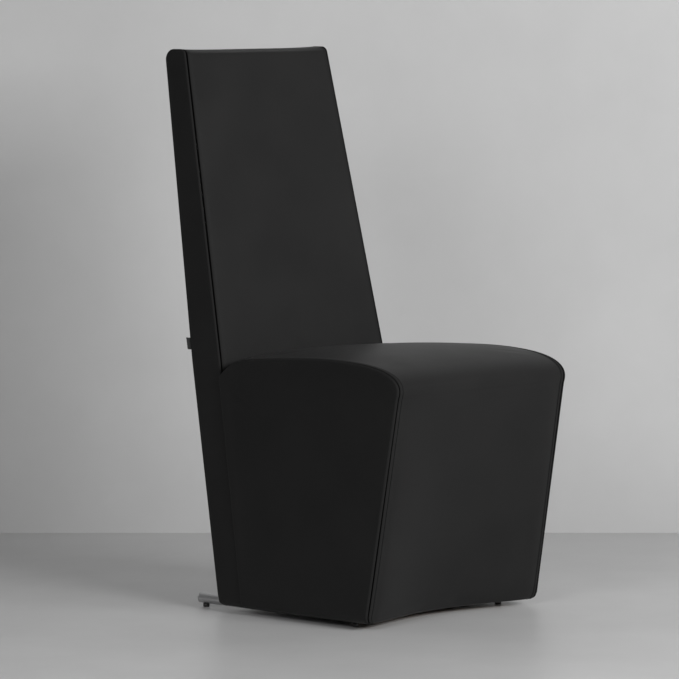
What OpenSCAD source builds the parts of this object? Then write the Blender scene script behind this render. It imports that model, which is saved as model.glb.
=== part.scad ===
// High back dining chair: a leather-covered wedge seat bolted to a tall slab back, on two steel runners.
// X runs across the chair, the front faces -Y, and the floor is at Z = 0.
// The origin lies on the floor under the middle of the chair.

/* [Overall] */
// Height from the floor to the top of the back
overall_height = 1050; // [1000:1:1120]
// Height of the leather body above the floor
ground_clearance = 13; // [12:1:16]

/* [Seat] */
// Width of the seat at its seam with the back
seat_width = 472; // [450:1:490]
// Width of the chair at its foot
base_width = 485; // [475:1:510]
// Depth from the face of the back to the end of the front roll
seat_depth = 451; // [420:1:480]
// Height of the side seams where the seat meets the back
seat_back_height = 470; // [460:1:490]
// Height at which the front roll runs into the straight front
seat_front_height = 429; // [420:1:440]
// Rise of the seat's side line as it leaves the back
seat_rise = 16; // [8:1:24]
// Rise that gives the front roll its fullness
roll_rise = 50; // [40:1:60]
// How far the front roll swells forward of its end
roll_swell = 39; // [30:1:45]
// How far the foot of the front stands behind the end of the roll
front_setback = 71; // [50:1:80]
// Depth of the hollow for the heels at the foot of the front
heel_recess = 34; // [20:1:50]
// Rise of the middle of the seat above its side seams
seat_crown = 9; // [3:1:12]
// How far the seat's rear corners are drawn down beside the back
corner_drop = 26; // [10:1:30]
// Distance from the back over which they are drawn down
corner_drop_reach = 75; // [50:1:100]

/* [Back] */
// Width of the back at its top
back_top_width = 395; // [370:1:420]
// Lean of the rear of the back, in degrees from upright
back_lean = 9.9; // [8:0.1:11]
// Thickness of the back at its top
back_top_thickness = 53; // [45:1:58]
// Thickness of the back at the seat
back_seat_thickness = 73; // [64:1:80]
// Thickness of the back at the floor
back_foot_thickness = 61; // [54:1:68]
// How far the back's side lies inside the seat's side at the seat
seat_step = 6.5; // [3:0.5:10]
// How far the back's side lies inside the seat's side at the floor
foot_step = 2; // [1:0.5:4]
// Swell of the middle of the back
back_crown = 4; // [2:1:6]
// Sag of the middle of the top edge
top_sag = 3; // [0:0.5:4]
// Radius of the front edge of the top
top_front_radius = 10; // [8:1:13]
// Radius of the rear edge of the top
top_rear_radius = 18; // [15:1:22]

/* [Upholstery] */
// Thickness of the leather
leather = 1.5; // [1.2:0.1:2]
// Thickness of the padding on the sides and the front, under the leather
padding = 12.5; // [11:0.5:14]
// Height of the seat's side seams above the top of the seat frame
seat_foam_height = 62; // [55:1:75]
// Least height of the end of the front roll above the top of the seat frame
roll_foam_height = 12; // [8:1:20]
// Thickness of the foam on the face of the back
back_foam_thickness = 13.5; // [12:0.5:15]
// Thickness of the elastic webbing
webbing = 1.5; // [1:0.1:2]
// Width of a webbing strap
strap_width = 60; // [50:1:70]
// Thickness of the dust cover
dust_cloth = 0.8; // [0.6:0.1:1.2]
// Height of the blank loop label
tab_height = 22; // [18:1:26]
// How far the loop label stands out of its seam
tab_reach = 10; // [6:1:12]
// Thickness of the folded loop label
tab_thickness = 1.2; // [0.8:0.1:1.6]
// Height of the middle of the loop label above the floor
tab_level = 500; // [490:1:520]

/* [Frame] */
// Thickness of the side boards and uprights
board = 15; // [12:1:16]
// Thickness of the rails
rail_thickness = 22; // [20:1:24]
// Height of the seat rails and the back's cross rails
rail_height = 43; // [36:1:50]
// Height of the foot rails
foot_rail_height = 52; // [44:1:60]
// Thickness of the base board
base_board_thickness = 18; // [15:1:20]
// Thickness of the bent front panel
front_panel_thickness = 5; // [4:1:6]
// Thickness of the rear panel
rear_panel_thickness = 3; // [2:0.5:4]
// Height of the middle of the back's middle rail
middle_rail_level = 730; // [680:1:780]
// Side length of a corner block
corner_block_size = 50; // [40:1:60]

/* [Runners] */
// Diameter of a runner tube
tube_diameter = 20; // [18:1:20]
// Wall of a runner tube
tube_wall = 1.5; // [1.2:0.1:2]
// Distance of a runner's axis from the side of the foot
runner_side_inset = 42; // [41:1:60]
// How far a runner stands out behind the foot of the back
runner_tail = 83; // [60:1:100]
// Distance of a runner's front end behind the curved front rail
runner_inset = 8; // [5:1:20]
// Diameter of a glide
glide_diameter = 12; // [10:1:14]
// Height of a glide
glide_height = 7; // [6:0.5:8]
// Distance of a glide's centre from the end of its runner
glide_inset = 12.5; // [12:0.5:20]

/* [Fasteners] */
// Diameter of the frame screws
screw_diameter = 5; // [4:0.5:5]
// Length of the frame screws
screw_length = 45; // [40:1:50]
// Diameter of the bolts that join seat and back
joint_bolt_diameter = 8; // [6:1:8]
// Diameter of the bolts that hold the runners
runner_bolt_diameter = 6; // [5:0.5:6]

/* [Hidden] */

// Overrun of every cut, and the fits between pieces
cut = 1;
soft_gap = 0.3;
board_gap = 0.2;
hole_gap = 0.1;

// Colours of the materials
black_leather = [0.11, 0.11, 0.11];
black_cloth = [0.16, 0.16, 0.17];
cream_foam = [0.93, 0.89, 0.76];
white_wadding = [0.95, 0.95, 0.93];
brown_strap = [0.45, 0.33, 0.2];
plywood = [0.8, 0.66, 0.46];
beech = [0.76, 0.56, 0.38];
hardboard = [0.42, 0.29, 0.19];
steel = [0.72, 0.73, 0.75];
zinc = [0.6, 0.6, 0.58];
black_plastic = [0.08, 0.08, 0.08];

// Smoothness of round pieces and of curved outlines
$fn = 48;
curve_steps = 14;
corner_steps = 5;
front_steps = 6;
back_steps = 10;
half_columns = 6;

function mix(a, b, share) = a + (b - a) * share;
function unit(v) = v / norm(v);
function bezier(p, t) = pow(1 - t, 3) * p[0] + 3 * pow(1 - t, 2) * t * p[1]
    + 3 * (1 - t) * t * t * p[2] + t * t * t * p[3];
function bezier_way(p, t) = pow(1 - t, 2) * (p[1] - p[0]) + 2 * (1 - t) * t * (p[2] - p[1])
    + t * t * (p[3] - p[2]);

// Points of a round corner at b, on the way from a to c
function corner(a, b, c, radius) =
    radius <= 0 ? [b] :
    let (
        u = unit(a - b),
        v = unit(c - b),
        half_angle = acos(u * v) / 2,
        start = b + u * radius / tan(half_angle),
        end = b + v * radius / tan(half_angle),
        centre = b + unit(u + v) * radius / sin(half_angle)
    )
    [for (i = [0:corner_steps]) centre + unit(mix(start, end, i / corner_steps) - centre) * radius];

// Side view, as y and z. Every place in it hangs on the rear of the back's foot.
hem = leather + padding;
frame_height = min(seat_back_height - seat_foam_height, seat_front_height - roll_foam_height);
seat_deck = frame_height + 2 * webbing;
body_height = overall_height - ground_clearance;
joint_height = seat_back_height - ground_clearance;
front_height = seat_front_height - ground_clearance;
joint_reach = joint_height * tan(back_lean) - back_seat_thickness;
top_reach = (body_height - top_rear_radius) * tan(back_lean) + top_rear_radius * (1 - 1 / cos(back_lean));
crown_handle_share = 0.296;

// Side line of the seat from the back to the end of its roll, measured from the seam with the back
seat_line = [
    [0, 0],
    [-seat_depth * crown_handle_share, seat_rise],
    [-seat_depth - roll_swell, roll_rise],
    [-seat_depth, seat_front_height - seat_back_height]
];
roll_reach = min([for (i = [0:curve_steps]) bezier(seat_line, i / curve_steps)[0]]);
rear_foot_y = (soft_gap - joint_reach - roll_reach - top_reach) / 2;
joint_y = rear_foot_y + joint_reach;
roll_end_y = joint_y - seat_depth;
base_front_y = roll_end_y + front_setback;

function rear_y(z, d = 0) = rear_foot_y + (z - ground_clearance) * tan(back_lean) - d / cos(back_lean);
function back_thickness(z) = z > seat_back_height
    ? mix(back_seat_thickness, back_top_thickness, (z - seat_back_height) / (overall_height - seat_back_height))
    : mix(back_foot_thickness, back_seat_thickness, (z - ground_clearance) / joint_height);
function face_y(z, d = 0) = rear_y(z) - back_thickness(z) + d;
function front_y(z, d = 0) = mix(base_front_y, roll_end_y, (z - ground_clearance) / front_height) + d;

// Lean of the face between seat and back, and of the face above the seat
joint_lean = atan((face_y(seat_back_height) - face_y(ground_clearance)) / joint_height);
face_lean = atan((face_y(overall_height) - face_y(seat_back_height)) / (overall_height - seat_back_height));

// Front view: half the width of the seat block and of the back at a height
function seat_half(z) = mix(base_width, seat_width, (z - ground_clearance) / joint_height) / 2;
function back_half(z) = z > seat_back_height
    ? mix(seat_width / 2 - seat_step, back_top_width / 2,
          (z - seat_back_height) / (overall_height - seat_back_height))
    : mix(base_width / 2 - foot_step, seat_width / 2 - seat_step, (z - ground_clearance) / joint_height);

// How far the rounded foot draws the surface at depth d in, at a height h above the foot
function hem_in(h, d) = h >= hem ? d : h <= d ? hem : hem - sqrt(pow(hem - d, 2) - pow(hem - h, 2));

// The hollow for the heels lies between the side boards, deepest in the middle of the foot
function hollow_half(z) = seat_half(z) - hem - board - board_gap;
function hollow(x, z) = heel_recess * max(0, seat_front_height - z) / front_height
    * pow(max(0, 1 - pow(x / hollow_half(z), 2)), 1.5);

// How far the seat's side line is drawn down at its step i, along the joint with the back
function side_drop(i) =
    corner_drop * pow(max(0, 1 + bezier(seat_line, i / curve_steps)[0] / corner_drop_reach), 2.5);
function down_joint(drop) = [-drop * tan(joint_lean), -drop];

// Side outline of the seat block at depth d
function seat_curve(d) = [
    for (i = [0:curve_steps])
        let (
            t = i / curve_steps,
            way = unit(bezier_way(seat_line, t)),
            spot = bezier(seat_line, t) + [way[1], -way[0]] * -d
        )
        [joint_y - soft_gap, seat_back_height] + spot + down_joint(side_drop(i))
];
function seat_outline(d) =
    let (
        foot = ground_clearance + d,
        front_foot = [front_y(foot, d), foot]
    )
    concat(
        seat_curve(d),
        corner([front_y(seat_front_height, d), seat_front_height], front_foot,
               [joint_y, foot], hem - d),
        [[face_y(foot) - soft_gap, foot]]
    );

// Side outline of the back at depth d
function back_outline(d) =
    let (
        foot = ground_clearance + d,
        top = overall_height - d,
        front_foot = [face_y(foot, d), foot],
        knee = [face_y(seat_back_height, d), seat_back_height],
        top_front = [face_y(top, d), top],
        top_rear = [rear_y(top, d), top],
        rear_foot = [rear_y(foot, d), foot]
    )
    concat(
        [front_foot, knee],
        corner(knee, top_front, top_rear, top_front_radius - d),
        corner(top_front, top_rear, rear_foot, top_rear_radius - d),
        corner(top_rear, rear_foot, front_foot, hem - d)
    );

// Front outlines at depth d, with the round foot
function mirrored(points) =
    concat(points, [for (i = [len(points) - 1:-1:0]) [-points[i][0], points[i][1]]]);
function foot_arc(half, d) = [
    for (i = [0:corner_steps])
        let (angle = 90 * i / corner_steps)
        [half - hem + (hem - d) * sin(angle), ground_clearance + hem - (hem - d) * cos(angle)]
];
function seat_section(d) = mirrored(concat(
    foot_arc(seat_half(ground_clearance + hem), d),
    [[seat_half(overall_height) - d, overall_height]]
));
function back_section(d) = mirrored(concat(
    foot_arc(back_half(ground_clearance + hem), d),
    [[back_half(seat_back_height) - d, seat_back_height]],
    [[back_half(overall_height) - d, overall_height + cut]]
));

// Straight sides at depth d, open at the foot
function seat_sides(d) = mirrored([
    [seat_half(0) - d, 0],
    [seat_half(overall_height) - d, overall_height]
]);
function back_sides(d) = mirrored([
    [back_half(0) - d, 0],
    [back_half(seat_back_height) - d, seat_back_height],
    [back_half(overall_height) - d, overall_height + cut]
]);

// Sweeps a side outline across the chair
module across() {
    rotate([90, 0, 90])
        linear_extrude(2 * base_width, center = true)
            children();
}

// Sweeps a front outline through the chair
module through() {
    rotate([90, 0, 0])
        linear_extrude(2 * overall_height, center = true)
            children();
}

// The half of the chair on one side: -1 is the sitter's right, 1 the sitter's left
module on_side(side) {
    intersection() {
        children();
        translate([side > 0 ? 0 : -base_width, -overall_height, -cut])
            cube([base_width, 2 * overall_height, overall_height + 3 * cut]);
    }
}

// A rectangle of the side view between two heights, from y to y
module band(low, high, near = -overall_height, far = overall_height) {
    translate([near, low])
        square([far - near, high - low]);
}

// A closed skin between two grids of points. Rows run from the rear over the top to the foot.
module skin(outer, inner) {
    rows = len(outer);
    columns = len(outer[0]);
    size = rows * columns;
    function at(r, c) = r * columns + c;
    function two(a, b, c, d) = [[a, b, c], [a, c, d]];
    polyhedron(
        points = concat([for (row = outer) each row], [for (row = inner) each row]),
        faces = concat(
            [for (r = [0:rows - 2], c = [0:columns - 2])
                each two(at(r, c), at(r, c + 1), at(r + 1, c + 1), at(r + 1, c))],
            [for (r = [0:rows - 2], c = [0:columns - 2])
                each two(size + at(r, c), size + at(r + 1, c), size + at(r + 1, c + 1), size + at(r, c + 1))],
            [for (r = [0:rows - 2])
                each two(at(r, 0), at(r + 1, 0), size + at(r + 1, 0), size + at(r, 0))],
            [for (r = [0:rows - 2])
                each two(at(r, columns - 1), size + at(r, columns - 1),
                         size + at(r + 1, columns - 1), at(r + 1, columns - 1))],
            [for (c = [0:columns - 2])
                each two(at(0, c + 1), at(0, c), size + at(0, c), size + at(0, c + 1))],
            [for (c = [0:columns - 2])
                each two(at(rows - 1, c), at(rows - 1, c + 1),
                         size + at(rows - 1, c + 1), size + at(rows - 1, c))]
        )
    );
}

// Places across the seat at a height, with an edge outside the hollow if one is given
function seat_places(z, edge = 0) =
    let (places = [for (i = [-half_columns:half_columns]) hollow_half(z) * i / half_columns])
    edge > 0 ? concat([-edge], places, [edge]) : places;

// One row of a skin on the seat's top, which rises to a crown between its drawn down sides,
// and one on its hollow front
function crowned_row(y, z, rise, drop, edge) = [
    for (x = seat_places(z, edge))
        let (
            share = 1 - pow(abs(x / edge), 3),
            spot = [y, z + rise * share] - down_joint(drop) * share
        )
        [x, spot[0], spot[1]]
];
function front_row(y, z, edge = 0) = [for (x = seat_places(z, edge)) [x, y + hollow(x, z), z]];

// Rows of the seat's surface at depth d
function seat_top_rows(d) =
    let (points = seat_curve(d))
    [for (i = [0:curve_steps])
        let (p = points[i])
        crowned_row(p[0], p[1], seat_crown * cos(90 * i / curve_steps), side_drop(i),
                    seat_half(p[1]) - leather - soft_gap)];
function front_rows(d) = [
    for (i = [1:front_steps])
        let (z = mix(seat_front_height, ground_clearance + hem, i / front_steps))
        front_row(front_y(z, d), z, seat_half(z) - leather - soft_gap)
];
function hem_rows(d) = [
    for (i = [1:corner_steps])
        let (
            angle = 90 * (1 - i / corner_steps),
            z = ground_clearance + hem - (hem - d) * cos(angle),
            draw = hem - (hem - d) * sin(angle)
        )
        front_row(front_y(z, draw), z, seat_half(z) - hem_in(z - ground_clearance, leather) - soft_gap)
];
// Where the cover is stapled under the front rail
function staple_row(d) =
    let (z = ground_clearance + d)
    [front_row(front_y(z, hem + front_panel_thickness + rail_thickness / 2), z, seat_half(z) - hem - soft_gap)];
function seat_cover_rows(d) = concat(seat_top_rows(d), front_rows(d), hem_rows(d), staple_row(d));

module seat_cover() {
    color(black_leather)
        skin(seat_cover_rows(0), seat_cover_rows(leather));
}

// The leather turns under the side board and is stapled there
module seat_side_cover(side) {
    color(black_leather)
        on_side(side)
            intersection() {
                across() polygon(seat_outline(0));
                through() difference() {
                    polygon(seat_section(0));
                    polygon(seat_section(leather));
                    square([2 * (seat_half(ground_clearance) - hem - board + cut), 3 * ground_clearance],
                           center = true);
                    translate([-base_width, seat_back_height + roll_rise])
                        square([2 * base_width, overall_height]);
                }
            }
}

module seat_foam() {
    low = seat_deck + soft_gap;
    edge = seat_half(low) - leather - soft_gap;
    outer = concat(seat_top_rows(leather + soft_gap), [front_row(front_y(low, leather + soft_gap), low, edge)]);
    last = len(outer) - 1;
    inner = [
        for (i = [0:last])
            crowned_row(mix(face_y(low) - soft_gap, front_y(low, hem), i / last), low, 0, 0, edge)
    ];
    color(cream_foam) skin(outer, inner);
}

// Foam between the two side paddings, from the seat foam to the foot
module front_foam() {
    near = leather + soft_gap;
    levels = concat(
        [for (i = [0:front_steps]) mix(seat_deck, ground_clearance + hem, i / front_steps)],
        [for (i = [1:corner_steps - 1]) ground_clearance + hem - padding * sin(90 * i / corner_steps)]
    );
    color(cream_foam)
        skin([for (z = levels)
                front_row(front_y(z, hem_in(z - ground_clearance, near)), z, seat_half(z) - hem - soft_gap)],
             [for (z = levels) front_row(front_y(z, hem - soft_gap), z, seat_half(z) - hem - soft_gap)]);
}

module seat_side_padding(side) {
    color(white_wadding)
        on_side(side)
            intersection() {
                across() intersection() {
                    polygon(seat_outline(leather + soft_gap));
                    band(0, seat_deck);
                }
                through() difference() {
                    polygon(seat_section(leather + soft_gap));
                    polygon(seat_sides(hem));
                }
            }
}

// Curved pieces behind the front foam: a skin at a depth, between two heights
module front_layer(depth, thickness, low, high) {
    levels = [for (i = [0:front_steps]) mix(high, low, i / front_steps)];
    skin([for (z = levels) front_row(front_y(z, depth), z)],
         [for (z = levels) front_row(front_y(z, depth + thickness), z)]);
}

frame_foot = ground_clearance + leather;
runner_top = glide_height + tube_diameter;
base_board_low = runner_top + dust_cloth;
base_board_high = base_board_low + base_board_thickness;

module front_panel() {
    color(plywood)
        front_layer(hem, front_panel_thickness, frame_foot, frame_height);
}

module base_front_rail() {
    color(beech)
        front_layer(hem + front_panel_thickness, rail_thickness, frame_foot, frame_foot + foot_rail_height);
}

// Holes for the frame screws, and the screws themselves, on both sides of the seat or the back
countersink = screw_diameter * 0.9;
countersink_share = 0.5;
screw_sink = 0.5;

module screw(gap) {
    head = countersink + gap;
    cylinder(h = head * countersink_share * 2, r1 = head, r2 = screw_diameter / 2 + gap, $fn = 24);
    cylinder(h = screw_length, r = screw_diameter / 2 + gap, $fn = 24);
    if (gap > 0)
        translate([0, 0, -screw_sink - cut])
            cylinder(h = screw_sink + cut, r = head, $fn = 24);
}

// Puts a screw in from each side at every place of the list, which holds y, z and half the width there
module screws(places, gap = 0) {
    for (place = places, side = [-1, 1])
        translate([side * (place[2] - hem - screw_sink), place[0], place[1]])
            rotate([0, -side * 90, 0])
                screw(gap);
}

rail_low = frame_height - rail_height;
rail_middle = frame_height - rail_height / 2;
screw_share = 0.25;
front_rail_depth = hem + front_panel_thickness + hollow(0, rail_low) + soft_gap;
front_rail_y = front_y(rail_middle, front_rail_depth + rail_thickness / 2);
base_screw_y = [for (share = [0.3, 0.5, 0.7]) mix(base_front_y, face_y(base_board_low), share)];
base_screw_z = (base_board_low + base_board_high) / 2;

// Frame of the joint between seat and back at a height: its Z runs up the lean, its Y into the back
module at_joint(z) {
    translate([0, face_y(z), z])
        rotate([-joint_lean, 0, 0])
            children();
}
function joint_spot(z, depth, up) = [
    face_y(z) + depth * cos(joint_lean) + up * sin(joint_lean),
    z - depth * sin(joint_lean) + up * cos(joint_lean)
];

seat_joint_z = rail_middle;
foot_joint_z = base_board_high + foot_rail_height / 2;
seat_screw_spots = concat(
    [for (up = [-1, 1]) [front_rail_y - up * rail_height * screw_share * front_setback / front_height,
                         rail_middle + up * rail_height * screw_share]],
    [for (up = [-1, 1]) joint_spot(seat_joint_z, -rail_thickness / 2, up * rail_height * screw_share)],
    [for (up = [-1, 1]) joint_spot(foot_joint_z, -rail_thickness / 2, up * foot_rail_height * screw_share)],
    [for (y = base_screw_y) [y, base_screw_z]]
);
seat_screw_places = [for (spot = seat_screw_spots) [spot[0], spot[1], seat_half(spot[1])]];

module seat_frame_screws() {
    color(zinc) screws(seat_screw_places);
}

module seat_side_board(side) {
    color(plywood)
        difference() {
            on_side(side)
                intersection() {
                    across() intersection() {
                        polygon(seat_outline(hem));
                        band(frame_foot, frame_height);
                    }
                    through() difference() {
                        polygon(seat_sides(hem));
                        polygon(seat_sides(hem + board));
                    }
                }
            screws(seat_screw_places, hole_gap);
        }
}

// What lies between the side boards of the seat
module between_side_boards() {
    intersection() {
        children();
        through() polygon(seat_sides(hem + board + board_gap));
    }
}

module seat_front_rail() {
    near = front_rail_depth;
    far = near + rail_thickness;
    color(beech)
        difference() {
            between_side_boards()
                across() polygon([
                    [front_y(rail_low, near), rail_low],
                    [front_y(frame_height, near), frame_height],
                    [front_y(frame_height, far), frame_height],
                    [front_y(rail_low, far), rail_low]
                ]);
            screws(seat_screw_places, hole_gap);
        }
}

// Rails on either side of the joint, as boxes square to its lean
module joint_rail(z, height, depth, thickness) {
    at_joint(z)
        translate([-base_width, depth, -height / 2])
            cube([2 * base_width, thickness, height]);
}

joint_bolt_x = seat_width * 0.31;
joint_head = joint_bolt_diameter * 0.8;
joint_bolt_length = 2 * rail_thickness + joint_bolt_diameter / 2;

module joint_bolt_spots() {
    for (z = [seat_joint_z, foot_joint_z], side = [-1, 1])
        at_joint(z)
            translate([side * joint_bolt_x, 0, 0])
                rotate([-90, 0, 0])
                    children();
}

module joint_bolt_holes() {
    joint_bolt_spots()
        translate([0, 0, -base_width / 4])
            cylinder(h = base_width / 2, r = joint_bolt_diameter / 2 + 3 * hole_gap);
}

module seat_rear_rail() {
    color(beech)
        difference() {
            between_side_boards()
                intersection() {
                    joint_rail(seat_joint_z, rail_height, -rail_thickness - soft_gap, rail_thickness);
                    across() band(0, frame_height);
                }
            screws(seat_screw_places, hole_gap);
            joint_bolt_holes();
        }
}

module base_rear_rail() {
    color(beech)
        difference() {
            between_side_boards()
                joint_rail(foot_joint_z, foot_rail_height, -rail_thickness - soft_gap, rail_thickness);
            screws(seat_screw_places, hole_gap);
            joint_bolt_holes();
        }
}

// Runner places
runner_spacing = base_width - 2 * runner_side_inset;
front_rail_back = hem + front_panel_thickness + rail_thickness;
runner_rear_y = rear_foot_y + runner_tail;
runner_front_y = base_front_y + front_rail_back + runner_inset;
runner_z = glide_height + tube_diameter / 2;
runner_bolt_y = [for (share = [0.2, 0.62]) mix(runner_front_y, runner_rear_y, share)];
nut_barrel = runner_bolt_diameter * 0.7;

module runner_bolt_spots(side) {
    for (y = runner_bolt_y)
        translate([side * runner_spacing / 2, y, 0])
            children();
}

// Plan of a sheet between the side boards, from the front rail to the back's face
module floor_outline(low, high, gap) {
    far = face_y(low) - gap;
    half = hollow_half(high);
    polygon(concat(
        [for (x = seat_places(high)) [x, front_y(low, front_rail_back + gap) + hollow(x, low)]],
        [[half, far], [-half, far]]
    ));
}

module base_board() {
    color(plywood)
        difference() {
            translate([0, 0, base_board_low])
                linear_extrude(base_board_thickness)
                    floor_outline(base_board_low, base_board_high, soft_gap);
            screws(seat_screw_places, hole_gap);
            for (side = [-1, 1])
                runner_bolt_spots(side)
                    cylinder(h = base_width, r = nut_barrel + hole_gap);
        }
}

module corner_blocks() {
    front_corner = front_y(rail_low, front_rail_depth + rail_thickness) + board_gap;
    rear_corner = face_y(rail_low) - rail_thickness - 2 * soft_gap;
    reach = seat_half(rail_low) - hem - board;
    color(beech)
        between_side_boards()
            for (side = [-1, 1])
                translate([0, 0, rail_low + rail_height * screw_share])
                    linear_extrude(rail_height / 2) {
                        polygon([[side * reach, front_corner],
                                 [side * (reach - corner_block_size), front_corner],
                                 [side * reach, front_corner + corner_block_size]]);
                        polygon([[side * reach, rear_corner],
                                 [side * (reach - corner_block_size), rear_corner],
                                 [side * reach, rear_corner - corner_block_size]]);
                    }
}

// Webbing of the seat: straps on the boards, straps over them on the rails
lengthwise_straps = 5;
crosswise_straps = 4;

module seat_webbing_crosswise() {
    near = front_y(frame_height, front_rail_depth + rail_thickness);
    far = face_y(frame_height) - rail_thickness;
    pitch = (far - near) / crosswise_straps;
    half = seat_half(frame_height) - hem - board / 4;
    color(brown_strap)
        for (i = [0:crosswise_straps - 1])
            translate([-half, near + pitch * (i + 0.5) - strap_width / 2, frame_height])
                cube([2 * half, strap_width, webbing]);
}

module seat_webbing_lengthwise() {
    near = front_y(frame_height, front_rail_depth + rail_thickness / 4);
    far = face_y(frame_height) - rail_thickness / 4;
    pitch = 2 * (seat_half(frame_height) - hem - board) / lengthwise_straps;
    color(brown_strap)
        for (i = [0:lengthwise_straps - 1])
            translate([pitch * (i - (lengthwise_straps - 1) / 2) - strap_width / 2, near, frame_height + webbing])
                cube([strap_width, far - near, webbing]);
}

// Cloth under the base board, pierced where the runners are bolted on
module dust_cover() {
    color(black_cloth)
        difference() {
            translate([0, 0, runner_top])
                linear_extrude(dust_cloth)
                    floor_outline(runner_top, base_board_high, soft_gap);
            for (side = [-1, 1])
                runner_bolt_spots(side)
                    cylinder(h = base_width, r = nut_barrel + hole_gap);
        }
}

// Back: the core lies behind the foam on the face above the seat, and fills the joint below it
face_depth = leather + back_foam_thickness + webbing;
rear_depth = hem;
core_top = overall_height - hem;

module core_outline() {
    difference() {
        polygon([
            [face_y(frame_foot) + soft_gap, frame_foot],
            [face_y(frame_height) + soft_gap, frame_height],
            [face_y(frame_height, face_depth), frame_height],
            [face_y(seat_back_height, face_depth), seat_back_height],
            [face_y(core_top, face_depth), core_top],
            [rear_y(core_top, rear_depth), core_top],
            [rear_y(frame_foot, rear_depth), frame_foot]
        ]);
    }
}

top_rail_level = core_top - rail_height / 2;
back_seat_rail_z = seat_joint_z;
function core_middle(z) = (face_y(z, face_depth) + rear_y(z, rear_depth)) / 2;
back_screw_spots = concat(
    [for (z = [top_rail_level, middle_rail_level], up = [-1, 1])
        let (level = z + up * rail_height * screw_share)
        [core_middle(level), level]],
    [for (up = [-1, 1]) joint_spot(seat_joint_z, rail_thickness / 2, up * rail_height * screw_share)],
    [for (up = [-1, 1]) joint_spot(foot_joint_z, rail_thickness / 2, up * foot_rail_height * screw_share)]
);
back_screw_places = [for (spot = back_screw_spots) [spot[0], spot[1], back_half(spot[1])]];

module back_frame_screws() {
    color(zinc) screws(back_screw_places);
}

module back_upright(side) {
    color(plywood)
        difference() {
            on_side(side)
                intersection() {
                    across() core_outline();
                    through() difference() {
                        polygon(back_sides(hem));
                        polygon(back_sides(hem + board));
                    }
                }
            screws(back_screw_places, hole_gap);
        }
}

module between_uprights() {
    intersection() {
        children();
        through() polygon(back_sides(hem + board + board_gap));
    }
}

// A rail that fills the core's thickness between two heights
module core_rail(level) {
    color(beech)
        difference() {
            between_uprights()
                across() intersection() {
                    core_outline();
                    band(level - rail_height / 2, level + rail_height / 2);
                }
            screws(back_screw_places, hole_gap);
        }
}

module joint_core_rail(z, height) {
    color(beech)
        difference() {
            between_uprights()
                joint_rail(z, height, soft_gap, rail_thickness);
            screws(back_screw_places, hole_gap);
            joint_bolt_holes();
            joint_bolt_spots()
                translate([0, 0, rail_thickness + soft_gap - joint_barrel_length])
                    cylinder(h = joint_barrel_length + cut, r = joint_barrel + hole_gap);
        }
}

joint_barrel = joint_bolt_diameter * 0.65;
joint_barrel_length = joint_bolt_diameter * 1.4;
joint_flange = joint_bolt_diameter * 1.3;
flange_thickness = 1.2;

module joint_nuts() {
    color(zinc)
        joint_bolt_spots()
            difference() {
                union() {
                    translate([0, 0, rail_thickness + soft_gap - joint_barrel_length])
                        cylinder(h = joint_barrel_length, r = joint_barrel);
                    translate([0, 0, rail_thickness + soft_gap])
                        cylinder(h = flange_thickness, r = joint_flange);
                }
                cylinder(h = base_width, r = joint_bolt_diameter / 2 + hole_gap);
            }
}

module joint_bolts() {
    head_height = joint_bolt_diameter;
    socket = joint_bolt_diameter * 0.4;
    color(zinc)
        joint_bolt_spots()
            translate([0, 0, -rail_thickness - soft_gap]) {
                cylinder(h = joint_bolt_length, r = joint_bolt_diameter / 2);
                translate([0, 0, -head_height])
                    difference() {
                        cylinder(h = head_height, r = joint_head);
                        translate([0, 0, -cut])
                            cylinder(h = head_height / 2 + cut, r = socket, $fn = 6);
                    }
            }
}

// Straps on the front edges of the uprights, square to the lean of the face
back_straps = 6;

module back_webbing() {
    low = seat_back_height;
    pitch = (core_top - low) / back_straps;
    near = leather + back_foam_thickness;
    color(brown_strap)
        intersection() {
            across() for (i = [0:back_straps - 1]) {
                start = low + pitch * (i + 0.5) - strap_width / 2;
                end = start + strap_width;
                polygon([
                    [face_y(start, near), start],
                    [face_y(end, near), end],
                    [face_y(end, near + webbing), end],
                    [face_y(start, near + webbing), start]
                ]);
            }
            through() polygon(back_sides(hem + board / 4));
        }
}

module rear_panel() {
    near = rear_depth - rear_panel_thickness;
    low = frame_foot + rear_panel_thickness;
    color(hardboard)
        difference() {
            intersection() {
                across() polygon([
                    [rear_y(low, rear_depth), low],
                    [rear_y(core_top, rear_depth), core_top],
                    [rear_y(core_top, near), core_top],
                    [rear_y(low, near), low]
                ]);
                through() polygon(back_sides(hem));
            }
            runner_openings();
        }
}

module rear_padding() {
    near = rear_depth - rear_panel_thickness;
    color(white_wadding)
        difference() {
            intersection() {
                across() intersection() {
                    polygon(back_outline(leather));
                    polygon([
                        [rear_y(0, near), 0],
                        [rear_y(core_top, near), core_top],
                        [rear_y(core_top), core_top],
                        [rear_y(0), 0]
                    ]);
                }
                through() polygon(back_sides(hem));
            }
            runner_openings();
        }
}

module top_padding() {
    color(white_wadding)
        intersection() {
            across() intersection() {
                polygon(back_outline(leather));
                translate([0, -top_sag])
                    polygon(back_outline(leather));
                band(core_top, overall_height, face_y(core_top, face_depth), overall_height);
            }
            through() polygon(back_sides(hem));
        }
}

module back_side_padding(side) {
    color(white_wadding)
        on_side(side)
            intersection() {
                across() polygon(back_outline(leather));
                through() difference() {
                    polygon(back_section(leather));
                    polygon(back_sides(hem));
                }
            }
}

// Swell of the back's face at a height, none at the seat and at the top
function swell(z) = back_crown * sin(180 * max(0, z - seat_back_height) / (overall_height - seat_back_height));
cover_foot = frame_height + webbing;
face_levels = concat(
    [for (i = [0:back_steps]) mix(overall_height - 3 * top_front_radius, seat_back_height, i / back_steps)],
    [cover_foot]
);

// Sag of the top at a height, none below its round rear edge
function sag(z) = top_sag * max(0, z - overall_height + top_rear_radius) / top_rear_radius;

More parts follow.
